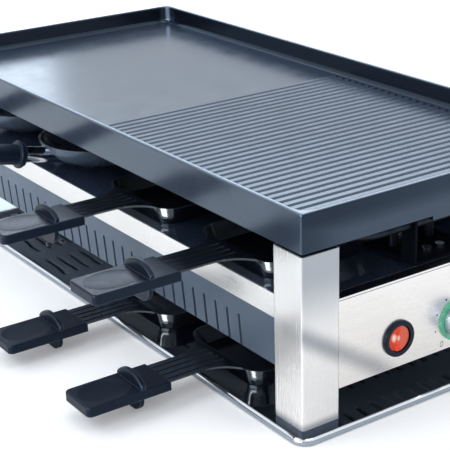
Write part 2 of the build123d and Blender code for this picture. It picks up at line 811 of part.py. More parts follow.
def pan_handle():
    mid_y = (handle_inner_y + handle_outer_y) / 2
    paddle = Pos(0, mid_y, handle_bottom) * extrude(
        RectangleRounded(handle_width, handle_length, handle_corner_radius), amount=handle_thickness)
    inner_corners = block(-handle_width / 2, handle_width / 2, handle_inner_y - handle_corner_radius,
                          handle_inner_y, handle_bottom, handle_top)
    paddle = paddle + inner_corners
    paddle = fillet(paddle.faces().sort_by(Axis.Z)[-1].edges(), handle_edge_radius)
    thumb = Pos(0, handle_outer_y + thumb_offset, handle_top + thumb_depth) * scale(
        Rot(0, 90, 0) * Sphere(1), by=(thumb_width / 2, thumb_length / 2, 2 * thumb_depth))
    guard_y = handle_inner_y - guard_offset
    tab_height = tab_drop + handle_edge_radius
    tab_face = RectangleRounded(2 * tab_half_width, 2 * tab_height, tab_corner_radius)
    tab = Pos(0, guard_y, handle_bottom + handle_edge_radius) * extrude(
        Rot(90, 0, 0) * tab_face, amount=guard_sheet / 2, both=True)
    upper_half = block(-handle_width, handle_width, guard_y - guard_sheet, guard_y + guard_sheet,
                       handle_bottom + handle_edge_radius, handle_top + tab_height + overrun)
    tongue = block(-neck_half_width - seat_gap, neck_half_width + seat_gap,
                   handle_inner_y - tongue_length - seat_gap, handle_inner_y + overrun,
                   pan_depth - pan_sheet - seat_gap, pan_depth + seat_gap)
    return paddle - thumb + (tab - upper_half) + finger_guard(guard_y) - tongue


# Round woks
def wok_profile(shrink, floor, top):
    """Half section of the wok's filled form, narrowed by a sheet."""
    base = wok_base_radius - shrink
    step = wok_step_radius - shrink
    rim = wok_radius - shrink
    bulge = wok_radius * wok_bulge_radius_share - shrink
    start = (step, wok_step_height + floor)
    middle = (bulge, wok_depth * wok_bulge_height_share + floor)
    lines = (
        Polyline((0, top), (0, floor), (base, floor), start)
        + ThreePointArc(start, middle, (rim, top))
        + Line((rim, top), (0, top))
    )
    return make_face(Plane.XZ * lines)


def wok_bowl():
    outer = revolve(wok_profile(0, 0, wok_depth), Axis.Z)
    inner = revolve(wok_profile(wok_sheet, wok_sheet, wok_depth), Axis.Z)
    mouth = peg(0, 0, wok_depth, wok_depth + overrun, wok_radius - wok_sheet)
    return outer - inner - mouth


def grip_frame():
    """The plane square to the grip's axis where it passes the rim, its Z out along the grip."""
    rise = math.radians(ferrule_rise_angle)
    return Plane(origin=(0, -wok_radius, wok_depth - ferrule_drop), x_dir=(1, 0, 0),
                 z_dir=(0, -math.cos(rise), math.sin(rise)))


def wok_ferrule():
    """A chrome tube that starts square on the wok's wall and ends inside the grip."""
    inner_end = -wok_radius / 2
    outer_end = grip_start + grip_pocket_depth
    along = Pos(0, 0, (inner_end + outer_end) / 2)
    tube = Cylinder(ferrule_radius, outer_end - inner_end)
    bore = Cylinder(ferrule_radius - ferrule_wall, outer_end - inner_end + 2 * overrun)
    filled_wok = revolve(wok_profile(0, 0, wok_depth), Axis.Z)
    above_wok = peg(0, 0, wok_depth, 2 * wok_depth, wok_radius)
    return grip_frame() * along * (tube - bore) - filled_wok - above_wok


def wok_grip():
    upright = (Align.CENTER, Align.CENTER, Align.MIN)
    flange = Cylinder(grip_flange_radius, grip_flange_height, align=upright)
    flange = fillet(flange.edges(), grip_flange_height / 3)
    step = Pos(0, 0, -grip_step_height) * Cylinder(grip_step_radius, grip_flange_height, align=upright)
    handle = Cylinder(grip_radius, grip_length, align=upright)
    handle = fillet(handle.edges().sort_by(Axis.Z)[-1], grip_end_radius)
    pocket = Pos(0, 0, -grip_step_height - overrun) * Cylinder(
        ferrule_radius + seat_gap / 2, grip_pocket_depth + grip_step_height + overrun + seat_gap,
        align=upright)
    return grip_frame() * Pos(0, 0, grip_start) * (flange + step + handle - pocket)


def placed(sign, x, y, z, solid):
    """A pan or wok solid put at its bay. The far side is the near side turned half round."""
    return side_of(sign, Pos(x, -y, z) * solid)


# Write every node
def all_nodes():
    yield "base_tray", base_tray()
    yield "tray_pads", tray_pads()
    for name, sx, sy in corners:
        yield f"corner_post_{name}", corner_post(sx, sy)
        yield f"post_core_{name}", post_core(sx, sy)
    yield "post_screws", post_screws()
    for name, sign in sides:
        yield f"housing_wall_{name}", housing_wall(sign)
        yield f"side_strip_{name}", side_strip(sign)
    yield "upper_shelf", upper_shelf()
    yield "control_panel", control_panel()
    yield "cord_end_panel", cord_end_panel()
    yield "housing_bottom", housing_bottom()
    yield "grill_plate", grill_plate()
    yield "heating_element", heating_element()
    yield "element_brackets", element_brackets()
    yield "bracket_screws", bracket_screws()
    yield "terminal_block", terminal_block()
    yield "thermostat", thermostat()
    yield "thermostat_shaft", thermostat_shaft()
    yield "control_knob", control_knob()
    yield "knob_light_ring", knob_light_ring()
    yield "switch_housing", switch_housing()
    yield "switch_rocker", switch_rocker()
    yield "cord_grommet", cord_grommet()
    yield "wiring", wiring()
    pan_solid, handle_solid = pan(), pan_handle()
    wok_solids = (("wok", wok_bowl()), ("wok_ferrule", wok_ferrule()), ("wok_grip", wok_grip()))
    for name, sign in sides:
        for number, share in enumerate(pan_place_shares, 1):
            x = share * bay_pitch
            parked_x = x + parked_shift[number - 1]
            for level, at_x, z in (("upper", x, pan_rest_z), ("lower", parked_x, parked_rest_z)):
                yield (f"pan_{level}_{name}_{number}",
                       placed(sign, at_x, pan_reach - pan_length / 2, z, pan_solid))
                yield (f"pan_handle_{level}_{name}_{number}",
                       placed(sign, at_x, pan_reach - pan_length / 2, z, handle_solid))
        for number, share in enumerate(wok_place_shares, 3):
            for kind, solid in wok_solids:
                yield (f"{kind}_{name}_{number}",
                       placed(sign, share * bay_pitch, wok_reach - wok_radius, pan_rest_z, solid))


os.makedirs("parts", exist_ok=True)
for node, shape in all_nodes():
    export_step(shape, f"parts/{node}.step")
    print(node, round(shape.volume, 1))
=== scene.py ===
import math

import bpy
from mathutils import Matrix, Vector


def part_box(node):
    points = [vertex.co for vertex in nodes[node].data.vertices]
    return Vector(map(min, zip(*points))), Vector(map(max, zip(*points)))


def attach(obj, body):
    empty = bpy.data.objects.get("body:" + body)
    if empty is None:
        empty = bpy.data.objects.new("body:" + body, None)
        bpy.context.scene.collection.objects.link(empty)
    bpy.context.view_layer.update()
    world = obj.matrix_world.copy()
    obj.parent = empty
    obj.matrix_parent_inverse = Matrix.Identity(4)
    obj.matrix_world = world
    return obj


# Looks of the two-level table grill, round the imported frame. Lengths are in metres.
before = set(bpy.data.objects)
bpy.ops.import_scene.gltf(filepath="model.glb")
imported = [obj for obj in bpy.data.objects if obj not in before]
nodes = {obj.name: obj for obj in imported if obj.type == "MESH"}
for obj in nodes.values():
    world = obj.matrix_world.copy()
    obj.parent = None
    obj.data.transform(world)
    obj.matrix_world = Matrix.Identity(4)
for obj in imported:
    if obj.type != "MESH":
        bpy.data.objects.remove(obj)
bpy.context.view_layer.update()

MM = 0.001


# Node helpers
def start_material(name):
    material = bpy.data.materials.new(name)
    material.use_nodes = True
    tree = material.node_tree
    return material, tree, tree.nodes["Principled BSDF"]


def opened(material):
    """A finished material's tree, its shader and the socket of its colour so far."""
    tree = material.node_tree
    shader = tree.nodes["Principled BSDF"]
    return tree, shader, shader.inputs["Base Color"].links[0].from_socket


def add(tree, kind, **settings):
    made = tree.nodes.new("ShaderNode" + kind)
    for key, value in settings.items():
        setattr(made, key, value)
    return made


def join(tree, source, target):
    tree.links.new(source, target)


def axis_of(tree, vector, axis):
    parts = add(tree, "SeparateXYZ")
    join(tree, vector, parts.inputs[0])
    return parts.outputs[axis]


def own_place(tree, axis):
    """One coordinate in the piece's own frame."""
    return axis_of(tree, add(tree, "TexCoord").outputs["Object"], axis)


def facing(tree, axis):
    """The share of the surface's own direction along an axis."""
    return axis_of(tree, add(tree, "NewGeometry").outputs["Normal"], axis)


def noise(tree, size, detail, rough, stretch=(1, 1, 1)):
    """Noise in the piece's own frame, stretched per axis."""
    mapping = add(tree, "Mapping")
    mapping.inputs["Scale"].default_value = stretch
    join(tree, add(tree, "TexCoord").outputs["Object"], mapping.inputs["Vector"])
    made = add(tree, "TexNoise")
    made.inputs["Scale"].default_value = 1 / size
    made.inputs["Detail"].default_value = detail
    made.inputs["Roughness"].default_value = rough
    join(tree, mapping.outputs["Vector"], made.inputs["Vector"])
    return made.outputs["Fac"]


def spread(tree, value, low, high, start=0.3, end=0.7, soft=False):
    """From low to high while the value goes from start to end, and level beyond."""
    made = add(tree, "MapRange", interpolation_type="SMOOTHSTEP" if soft else "LINEAR")
    for key, number in (("From Min", start), ("From Max", end), ("To Min", low), ("To Max", high)):
        made.inputs[key].default_value = number
    join(tree, value, made.inputs["Value"])
    return made.outputs["Result"]


def calc(tree, operation, first, second=None):
    """One sum of sockets or numbers."""
    made = add(tree, "Math", operation=operation)
    for socket, value in zip(made.inputs, (first, second)):
        if value is None:
            continue
        if isinstance(value, (int, float)):
            socket.default_value = value
        else:
            join(tree, value, socket)
    return made.outputs[0]


def times(tree, first, second):
    return calc(tree, "MULTIPLY", first, second)


def absolute(tree, value):
    return calc(tree, "ABSOLUTE", value)


def mixed(tree, factor, first, second):
    """A colour between two, each of them a colour or a socket."""
    factor_in, first_in, second_in, colour_out = 0, 6, 7, 2
    made = add(tree, "Mix", data_type="RGBA")
    join(tree, factor, made.inputs[factor_in])
    for index, value in ((first_in, first), (second_in, second)):
        if isinstance(value, tuple):
            made.inputs[index].default_value = (*value, 1)
        else:
            join(tree, value, made.inputs[index])
    return made.outputs[colour_out]


def bumped(tree, height, distance, under=None):
    made = add(tree, "Bump")
    made.inputs["Distance"].default_value = distance
    join(tree, height, made.inputs["Height"])
    if under is not None:
        join(tree, under, made.inputs["Normal"])
    return made.outputs["Normal"]


def lifted_normal(tree, shader, rise):
    """Turns the surface's shading upward by a share of its own length."""
    push = add(tree, "CombineXYZ")
    join(tree, rise, push.inputs["Z"])
    summed = add(tree, "VectorMath", operation="ADD")
    join(tree, shader.inputs["Normal"].links[0].from_socket, summed.inputs[0])
    join(tree, push.outputs[0], summed.inputs[1])
    level = add(tree, "VectorMath", operation="NORMALIZE")
    join(tree, summed.outputs[0], level.inputs[0])
    join(tree, level.outputs[0], shader.inputs["Normal"])


def edge_highlight_mask(tree, radius):
    """1 along sharp edges, 0 on the flat."""
    sharp, level = 0.86, 0.995
    rounded = add(tree, "Bevel", samples=6)
    rounded.inputs["Radius"].default_value = radius
    dot = add(tree, "VectorMath", operation="DOT_PRODUCT")
    join(tree, rounded.outputs["Normal"], dot.inputs[0])
    join(tree, add(tree, "NewGeometry").outputs["Normal"], dot.inputs[1])
    return spread(tree, dot.outputs["Value"], 1.0, 0.0, sharp, level)


def linear(*srgb):
    """An sRGB colour of 0 to 255 as linear numbers."""
    shares = [c / 255 for c in srgb]
    return tuple(c / 12.92 if c <= 0.04045 else ((c + 0.055) / 1.055) ** 2.4 for c in shares)


def scaled(colour, share):
    return tuple(c * share for c in colour)


def finish(name, colour, rough, metal=0.0, mottle=(0.02, 0.12), grain=(0.0007, 0.00001),
           rough_spread=0.06, edge=None, waves=None, coat=0.0, specular=0.5, sheen=(1, 1, 1)):
    """A material with mottled colour, uneven roughness, grain and painted highlights along sharp
    edges.

    mottle is (size, share), grain and waves are (size, height), edge is the painted edge
    highlight's (width, colour, share) and sheen is the tint of its reflections."""
    (mottle_size, mottle_share), (grain_size, grain_height) = mottle, grain
    smear_size, coat_rough = 0.6 * mottle_size, 0.05
    material, tree, shader = start_material(name)
    patches = spread(tree, noise(tree, mottle_size, detail=3.0, rough=0.55), 0.0, 1.0)
    tint = mixed(tree, patches, scaled(colour, 1 - mottle_share), scaled(colour, 1 + mottle_share))
    # Painted highlight: a pale colour along sharp edges.
    if edge is not None:
        edge_width, edge_colour, edge_share = edge
        tint = mixed(tree, times(tree, edge_highlight_mask(tree, edge_width), edge_share), tint, edge_colour)
    join(tree, tint, shader.inputs["Base Color"])
    smear = noise(tree, smear_size, detail=4.0, rough=0.6)
    join(tree, spread(tree, smear, rough - rough_spread, rough + rough_spread),
         shader.inputs["Roughness"])
    normal = bumped(tree, noise(tree, grain_size, detail=3.0, rough=0.6), grain_height)
    if waves is not None:
        wave_size, wave_height = waves
        normal = bumped(tree, noise(tree, wave_size, detail=1.0, rough=0.4), wave_height, normal)
    join(tree, normal, shader.inputs["Normal"])
    for key, value in (("Metallic", metal), ("Specular IOR Level", specular),
                       ("Specular Tint", (*sheen, 1)), ("Coat Weight", coat),
                       ("Coat Roughness", coat_rough)):
        shader.inputs[key].default_value = value
    return material


# Heights and places that the looks follow
near_post_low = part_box("corner_post_control_near")[0]
plate_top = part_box("grill_plate")[1].z
hem_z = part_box("control_panel")[1].z - 1.5 * MM

# Finishes
STEEL = linear(243, 237, 232)
COOL = (0.62, 0.8, 1.0)
ALONG_X = (0.012, 1, 1)
ALONG_Y = (1, 0.012, 1)
ALONG_Z = (1, 1, 0.012)
# Pale colours painted as highlights along sharp edges
COATING_EDGE_HIGHLIGHT = (0.4 * MM, linear(150, 160, 176), 0.35)
SCREW_EDGE_HIGHLIGHT = (0.3 * MM, linear(250, 250, 250), 0.6)


def painted_shade_band(tree, tint, share):
    """A painted shade band across the near post that sinks to the panel's lower edge."""
    band_z, half_height, slope = 70.5 * MM, 12 * MM, 0.65
    fade_y = (-60 * MM, -30 * MM)
    y, z = own_place(tree, "Y"), own_place(tree, "Z")
    past_corner = calc(tree, "MAXIMUM", calc(tree, "ADD", y, -near_post_low.y), 0.0)
    centre = calc(tree, "SUBTRACT", band_z, times(tree, past_corner, slope))
    away = absolute(tree, calc(tree, "SUBTRACT", z, centre))
    band = spread(tree, away, share, 0.0, 0.0, half_height, soft=True)
    fade = spread(tree, y, 1.0, 0.0, *fade_y)
    return mixed(tree, times(tree, band, fade), tint, linear(120, 126, 136))


def brushed(name, rough, stretch, steel=STEEL, band=0.0, top_shade=None, fold=0.0, foot=0.0):
    """Steel with long brush lines. stretch is small along the lines.

    band is the share of the painted shade band, and top_shade holds the shares of a post's painted
    shade below and above. fold is the height of a pressed line, drawn as a line of painted shade,
    on a sheet whose top edge is painted dark, and foot the height of a post's lower edge, towards
    which it grows darker."""
    line_size, streak_size, cloud_size, edge_width = 0.6 * MM, 6 * MM, 45 * MM, 0.5 * MM
    line_depth, cloud_depth = 0.002 * MM, 0.06 * MM
    dark_line, light_line, dark_patch, patch_share = 0.95, 1.02, 0.9, 0.3
    line_rough, cloud_rough = (-0.03, 0.03), (rough - 0.04, rough + 0.05)
    shade_z, fold_away, foot_height = (65 * MM, 108 * MM), (0.15 * MM, 0.45 * MM), 6 * MM
    level = (0.6, 0.9)
    material, tree, shader = start_material(name)
    shader.inputs["Metallic"].default_value = 1.0
    lines = noise(tree, line_size, detail=4.0, rough=0.7, stretch=stretch)
    streaks = noise(tree, streak_size, detail=3.0, rough=0.6, stretch=stretch)
    clouds = noise(tree, cloud_size, detail=2.0, rough=0.5)
    tint = mixed(tree, spread(tree, lines, 0.0, 1.0), scaled(steel, dark_line),
                 scaled(steel, light_line))
    for patches in (streaks, clouds):
        tint = mixed(tree, spread(tree, patches, 0.0, patch_share), tint,
                     scaled(steel, dark_patch))
    if band or top_shade:
        end_side = spread(tree, facing(tree, "X"), 0.25, 1.0, 0.1, 0.8)
    # Painted shade: a soft dark band.
    if band:
        tint = mixed(tree, end_side, tint, painted_shade_band(tree, tint, band))
    # Painted shade towards the post's top, strongest on the face towards the control end.
    if top_shade:
        shade = spread(tree, own_place(tree, "Z"), *top_shade, *shade_z, soft=True)
        tint = mixed(tree, times(tree, shade, end_side), tint, linear(150, 155, 162))
        join(tree, spread(tree, end_side, 0.65, 1.0, 0.25, 1.0), shader.inputs["Metallic"])
    if fold:
        # Painted shade: a darker line along the pressed line under the hem.
        away = absolute(tree, calc(tree, "SUBTRACT", own_place(tree, "Z"), fold))
        tint = mixed(tree, spread(tree, away, 0.75, 0.0, *fold_away), tint, linear(90, 97, 110))
        up = facing(tree, "Z")
        tint = mixed(tree, spread(tree, up, 0.0, 1.0, *level), tint, linear(12, 16, 25))
        join(tree, spread(tree, up, 1.0, 0.0, *level), shader.inputs["Metallic"])
    # Darker towards the post's lower edge.
    if foot:
        darker_low = spread(tree, own_place(tree, "Z"), 0.75, 0.0, foot, foot + foot_height, soft=True)
        tint = mixed(tree, darker_low, tint, linear(104, 110, 122))
    # Painted highlight: near-white along the steel's sharp edges.
    edge_highlight = spread(tree, edge_highlight_mask(tree, edge_width), 0.0, 0.5, 0.0, 1.0)
    tint = mixed(tree, edge_highlight, tint, linear(250, 250, 250))
    join(tree, tint, shader.inputs["Base Color"])
    uneven = calc(tree, "ADD", spread(tree, lines, *line_rough),
                  spread(tree, clouds, *cloud_rough))
    join(tree, uneven, shader.inputs["Roughness"])
    normal = bumped(tree, clouds, cloud_depth, bumped(tree, lines, line_depth))
    join(tree, normal, shader.inputs["Normal"])
    return material


def strip_finish():
    """Brushed strips: a darker copy of the steel with painted light that grows towards the control
    end.
    """
    painted_light_x = (-140 * MM, 200 * MM)
    material = brushed("steel_strips", 0.3, ALONG_X, steel=linear(212, 209, 206))
    tree, shader, tint = opened(material)
    # Painted light, growing towards the control end.
    share = spread(tree, own_place(tree, "X"), 0.0, 0.85, *painted_light_x)
    join(tree, mixed(tree, share, tint, linear(253, 250, 248)), shader.inputs["Base Color"])
    return material


def tray_finish():
    """Mirror-like enamel with a painted highlight line, made metallic, along the rounded rim and a
    slate outer face.
    """
    material = finish("enamel_tray", linear(13, 17, 26), rough=0.06, mottle=(0.05, 0.1),
                      grain=(0.004, 0.000004), rough_spread=0.02, waves=(0.035, 0.00035),
                      specular=1.0, sheen=(0.88, 0.94, 1.0))
    tree, shader, tint = opened(material)
    shader.inputs["IOR"].default_value = 2.15
    up = facing(tree, "Z")
    # Painted highlight: a near-white metallic line along the rim's rounding.
    line = times(tree, spread(tree, up, 0.0, 1.0, 0.45, 0.6),
                 spread(tree, up, 1.0, 0.0, 0.93, 0.985))
    outside = times(tree, spread(tree, up, 0.0, 1.0, -0.2, -0.05),
                    spread(tree, up, 1.0, 0.0, 0.3, 0.5))
    tint = mixed(tree, outside, tint, linear(124, 134, 148))
    tint = mixed(tree, line, tint, linear(236, 238, 241))
    join(tree, tint, shader.inputs["Base Color"])
    join(tree, line, shader.inputs["Metallic"])
    return material


def wok_finish():
    """Slate coating on the spun woks, with a soft sheen; its pale tone is partly a painted sheen.
    """
    # The pale slate tone is partly a painted sheen.
    return finish("coating_woks", linear(70, 80, 94), rough=0.28, mottle=(0.02, 0.1),
                  grain=(0.0012, 0.000006), rough_spread=0.04, waves=(0.03, 0.0004), specular=0.9,
                  sheen=COOL, edge=COATING_EDGE_HIGHLIGHT)


def pan_finish():
    """Glossy coating, brighter in the upper part of the bowls' corners.

    The brightness grows from start to full, and on the lower pans it ends from rim to brim.
    These are heights over the pans' undersides."""
    foot_low, foot_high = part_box("pan_lower_near_1")[0].z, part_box("pan_upper_near_1")[0].z
    start, full, rim, brim = 1 * MM, 7 * MM, 14 * MM, 15 * MM
    neck_y = (114 * MM, 124 * MM)
    material = finish("coating_pans", linear(12, 16, 25), rough=0.17, mottle=(0.02, 0.12),
                      grain=(0.0012, 0.000006), rough_spread=0.03, specular=1.0,
                      sheen=(0.85, 0.93, 1.0), edge=COATING_EDGE_HIGHLIGHT)
    tree, shader, tint = opened(material)
    height = own_place(tree, "Z")
    lower = spread(tree, height, 0.0, 1.0, foot_low + start, foot_low + full, soft=True)
    lower = times(tree, lower,
                  spread(tree, height, 1.0, 0.0, foot_low + rim, foot_low + brim))
    upper = spread(tree, height, 0.0, 1.0, foot_high + start, foot_high + full, soft=True)
    corner = absolute(tree, times(tree, facing(tree, "X"), facing(tree, "Y")))
    lifted_normal(tree, shader, times(tree, calc(tree, "ADD", lower, upper),
                                      spread(tree, corner, 0.0, 0.68, 0.26, 0.42, soft=True)))
    # The necks are mixed back towards the plain coating colour, which mostly covers the painted
    # edge highlight there.
    neck = spread(tree, absolute(tree, own_place(tree, "Y")), 0.0, 0.75, *neck_y)
    join(tree, mixed(tree, neck, tint, linear(16, 20, 29)), shader.inputs["Base Color"])
    return material


def bottom_finish():
    """Pale blue-white satin sheet, its paleness partly painted light for its mirror image in the
    tray, with painted shade towards the control end.
    """
    painted_shade_x = (40 * MM, 160 * MM)
    material = finish("aluminium_bottom", linear(224, 238, 255), rough=0.6, metal=0.1,
                      mottle=(0.03, 0.06), grain=(0.0008, 0.00001))
    tree, shader, tint = opened(material)
    # Painted shade towards the control end.
    painted_shade = spread(tree, own_place(tree, "X"), 0.0, 0.6, *painted_shade_x, soft=True)
    join(tree, mixed(tree, painted_shade, tint, linear(70, 76, 88)), shader.inputs["Base Color"])
    return material


def lens_finish():
    """Clear red lens over a lit lamp, whose glow is painted as two pale spots in its left half; the
    paler right half is painted light.

    A spot is its place from the middle and its radius, in millimetres, and its share."""
    spots = ((-3.4, 0.9, 2.2, 0.95), (-0.4, 0.3, 1.5, 0.7))
    flatten, core_share = 0.6, 0.2
    right_start, right_full = 0.3 * MM, 1.6 * MM
    material = finish("rocker_red", linear(230, 60, 16), rough=0.25, mottle=(0.0016, 0.35),
                      grain=(0.0012, 0.0001), coat=0.25, specular=0.3)
    tree, shader, tint = opened(material)
    low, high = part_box("switch_rocker")
    middle_y, middle_z = (low.y + high.y) / 2, (low.z + high.z) / 2
    y, z = own_place(tree, "Y"), own_place(tree, "Z")
    # Painted light: the right half paler.
    right = spread(tree, y, 0.0, 0.75, middle_y + right_start, middle_y + right_full, soft=True)
    tint = mixed(tree, right, tint, linear(216, 96, 70))
    # Painted glow: two pale spots in the left half.
    for dy, dz, radius, share in spots:
        across = calc(tree, "SUBTRACT", y, middle_y + dy * MM)
        along = times(tree, calc(tree, "SUBTRACT", z, middle_z + dz * MM), flatten)
        away = calc(tree, "SQRT", calc(tree, "ADD", times(tree, across, across),
                                       times(tree, along, along)))
        painted_glow = spread(tree, away, share, 0.0, core_share * radius * MM, radius * MM, soft=True)
        tint = mixed(tree, painted_glow, tint, linear(255, 226, 205))
    join(tree, tint, shader.inputs["Base Color"])
    return material


def plate_finish():
    """Satin coating, lifted to the light inside, with a painted highlight along the rim's top.

    The rim's inner walls and the near upper part of the face at the control end carry painted
    shade, and the ribs' flanks towards that end carry painted light. field is the cooking surface
    within the walls.
    field_z runs past its floor, so that inside is half there and full on the ribs."""
    rim_start, rim_full, rib_lift = plate_top - 0.9 * MM, plate_top - 0.3 * MM, 0.25
    shade_z, shade_y, corner_y = (120 * MM, 140 * MM), (-120 * MM, 100 * MM), (-120 * MM, -85 * MM)
    field_x, field_y, field_z = (250 * MM, 252 * MM), (108 * MM, 112 * MM), (129.5 * MM, 130.5 * MM)
    wall_x, wall_y = (259.2 * MM, 259.6 * MM), (121.2 * MM, 121.6 * MM)
    rib_top_z = (132 * MM, 133 * MM)
    material = finish("coating_cast", linear(44, 53, 66), rough=0.2, mottle=(0.03, 0.08),
                      grain=(0.0011, 0.000012), rough_spread=0.03, specular=0.9, sheen=COOL)
    tree, shader, tint = opened(material)
    x, y, z = (own_place(tree, axis) for axis in "XYZ")
    out_x, out_y, end_ward = absolute(tree, x), absolute(tree, y), facing(tree, "X")
    # Painted highlight: a pale line along the rim's top.
    tint = mixed(tree, spread(tree, z, 0.0, 0.4, rim_start, rim_full), tint, linear(165, 178, 196))

    # Painted shade on the upper part of the face at the control end, strongest near the near
    # corner.
    near_top = times(tree, spread(tree, z, 0.0, 1.0, *shade_z, soft=True),
                     spread(tree, y, 1.0, 0.6, *shade_y, soft=True))
    near_top = calc(tree, "MAXIMUM", near_top, spread(tree, y, 0.8, 0.3, *corner_y, soft=True))
    shaded = times(tree, spread(tree, end_ward, 0.0, 0.8, 0.5, 0.8), near_top)
    tint = mixed(tree, shaded, tint, linear(32, 40, 52))

    # Painted shade on the rim's inner walls, where they face sideways.
    field = times(tree, spread(tree, out_y, 1.0, 0.0, *field_y),
                  spread(tree, out_x, 1.0, 0.0, *field_x))
    wall = times(tree, spread(tree, out_y, 1.0, 0.0, *wall_y),
                 spread(tree, out_x, 1.0, 0.0, *wall_x))
    wall = times(tree, wall, calc(tree, "SUBTRACT", 1.0, field))
    wall = times(tree, wall, spread(tree, facing(tree, "Z"), 1.0, 0.0, 0.6, 0.95))
    tint = mixed(tree, wall, tint, linear(50, 57, 68))
    # Less metal where the painted shade lies.
    shade_mask = calc(tree, "MAXIMUM", shaded, wall)
    join(tree, spread(tree, shade_mask, 0.0, 0.85, 0.0, 0.8), shader.inputs["Metallic"])

    inside = times(tree, field, spread(tree, z, 0.0, 1.0, *field_z))
    # Painted light on the ribs' flanks that face the control end.
    lit_flank = times(tree, spread(tree, end_ward, 0.0, 0.55, 0.2, 0.7),
                  spread(tree, z, 1.0, 0.0, *rib_top_z))
    tint = mixed(tree, times(tree, lit_flank, inside), tint, linear(116, 129, 148))
    join(tree, tint, shader.inputs["Base Color"])
    lifted_normal(tree, shader, times(tree, inside, rib_lift))
    return material


# An edge entry is a painted highlight along sharp edges.
looks = {
    "plate_coating": plate_finish(),
    "tray_enamel": tray_finish(),
    "shelf_enamel": finish(
        "enamel_shelf", linear(38, 47, 64), rough=0.08, mottle=(0.05, 0.1),
        grain=(0.004, 0.000004), rough_spread=0.03, specular=1.0, sheen=COOL),
    "housing_plastic": finish(
        "plastic_housing", linear(84, 96, 111), rough=0.42, mottle=(0.04, 0.06),
        grain=(0.0006, 0.00002), edge=(0.0006, linear(130, 143, 162), 0.4), sheen=COOL),
    "bottom_aluminium": bottom_finish(),
    "core_plastic": finish(
        "plastic_core", linear(40, 48, 61), rough=0.22, mottle=(0.02, 0.08),
        grain=(0.0006, 0.00001), edge=(0.0006, linear(150, 160, 176), 0.5), sheen=COOL),
    "brushed_steel": brushed("steel_posts", 0.25, ALONG_Z, foot=near_post_low.z),
    "screw_steel": finish(
        "steel_screws", linear(225, 227, 231), rough=0.22, metal=1.0, mottle=(0.002, 0.15),
        grain=(0.0003, 0.00001), edge=SCREW_EDGE_HIGHLIGHT),
    "element_steel": finish(
        "steel_element", linear(40, 44, 52), rough=0.45, metal=1.0, mottle=(0.012, 0.35),
        grain=(0.0005, 0.00002)),
    # Near-black steel, standing in for the shade under the plate: painted shade.
    "bracket_steel": finish(
        "steel_brackets", linear(11, 14, 22), rough=0.7, mottle=(0.006, 0.12),
        grain=(0.0005, 0.00001), specular=0.05, sheen=COOL),
    "shaft_steel": finish(
        "steel_shaft", linear(180, 182, 186), rough=0.3, metal=1.0, mottle=(0.004, 0.1),
        grain=(0.0004, 0.00001)),
    "block_ceramic": finish(
        "ceramic_block", linear(214, 208, 196), rough=0.5, mottle=(0.006, 0.06),
        grain=(0.0007, 0.00003)),
    "thermostat_ceramic": finish(
        "ceramic_thermostat", linear(205, 200, 190), rough=0.5, mottle=(0.006, 0.06),
        grain=(0.0007, 0.00003)),
    "knob_silver": finish(
        "knob_silver", linear(186, 196, 208), rough=0.3, metal=0.75, mottle=(0.006, 0.05),
        grain=(0.0004, 0.000006), edge=(0.0006, linear(240, 244, 248), 0.7)),
    "ring_green": finish(
        "ring_green", linear(80, 176, 136), rough=0.28, mottle=(0.004, 0.25),
        grain=(0.0009, 0.00003), coat=0.6),
    "switch_black": finish(
        "switch_black", linear(13, 18, 29), rough=0.36, mottle=(0.006, 0.08),
        grain=(0.0004, 0.00001), edge=(0.0006, linear(72, 80, 96), 0.3), specular=0.25,
        sheen=COOL),
    "rocker_red": lens_finish(),
    "grommet_rubber": finish(
        "rubber_grommet", linear(36, 38, 42), rough=0.6, mottle=(0.005, 0.1),
        grain=(0.0006, 0.00003)),
    "pad_rubber": finish(
        "rubber_pads", linear(40, 42, 46), rough=0.7, mottle=(0.005, 0.1),
        grain=(0.0006, 0.00004)),
    "wire_sheath": finish(
        "wire_sheath", linear(222, 216, 204), rough=0.5, mottle=(0.004, 0.08),
        grain=(0.0004, 0.00002)),
    "pan_coating": pan_finish(),
    "handle_plastic": finish(
        "plastic_handles", linear(12, 20, 36), rough=0.36, mottle=(0.012, 0.08),
        grain=(0.0005, 0.000012), edge=(0.0008, linear(110, 124, 145), 0.45), specular=0.22,
        sheen=COOL),
    "ferrule_chrome": finish(
        "chrome_ferrules", linear(222, 226, 232), rough=0.07, metal=1.0, mottle=(0.01, 0.06),
        grain=(0.002, 0.000004), rough_spread=0.02),
}
looks_by_node = {
    # A lighter copy of the steel for the near post is painted light; it carries the painted shade
    # band and painted shade at its top.
    "corner_post_control_near": brushed(
        "steel_near_post", 0.25, ALONG_Z, steel=linear(250, 246, 242), band=0.72,
        top_shade=(0.155, 0.868), foot=near_post_low.z),
    # The control panel carries the painted shade band too.
    "control_panel": brushed("steel_panel", 0.3, ALONG_Y, band=0.6, fold=hem_z),
    "cord_end_panel": brushed("steel_end_panel", 0.3, ALONG_Y, fold=hem_z),
    "bracket_screws": finish(
        "steel_bracket_screws", linear(235, 238, 242), rough=0.12, metal=1.0,
        mottle=(0.002, 0.1), grain=(0.0006, 0.00006), edge=SCREW_EDGE_HIGHLIGHT),
}
strip_look, wok_look = strip_finish(), wok_finish()

for name, piece in nodes.items():
    if name.startswith("side_strip"):
        look = strip_look
    elif name.startswith(("wok_near", "wok_far")):
        look = wok_look
    else:
        look = looks_by_node.get(name, looks.get(piece.data.materials[0].name))
    piece.data.materials[0] = look


# Added pieces
def ride_mesh(name, points, faces, material, body, smooth=False):
    mesh = bpy.data.meshes.new(name)
    mesh.from_pydata(points, [], faces)
    mesh.update()
    mesh.materials.append(material)
    for polygon in mesh.polygons:
        polygon.use_smooth = smooth
    piece = bpy.data.objects.new(name, mesh)
    bpy.context.scene.collection.objects.link(piece)
    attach(piece, body)


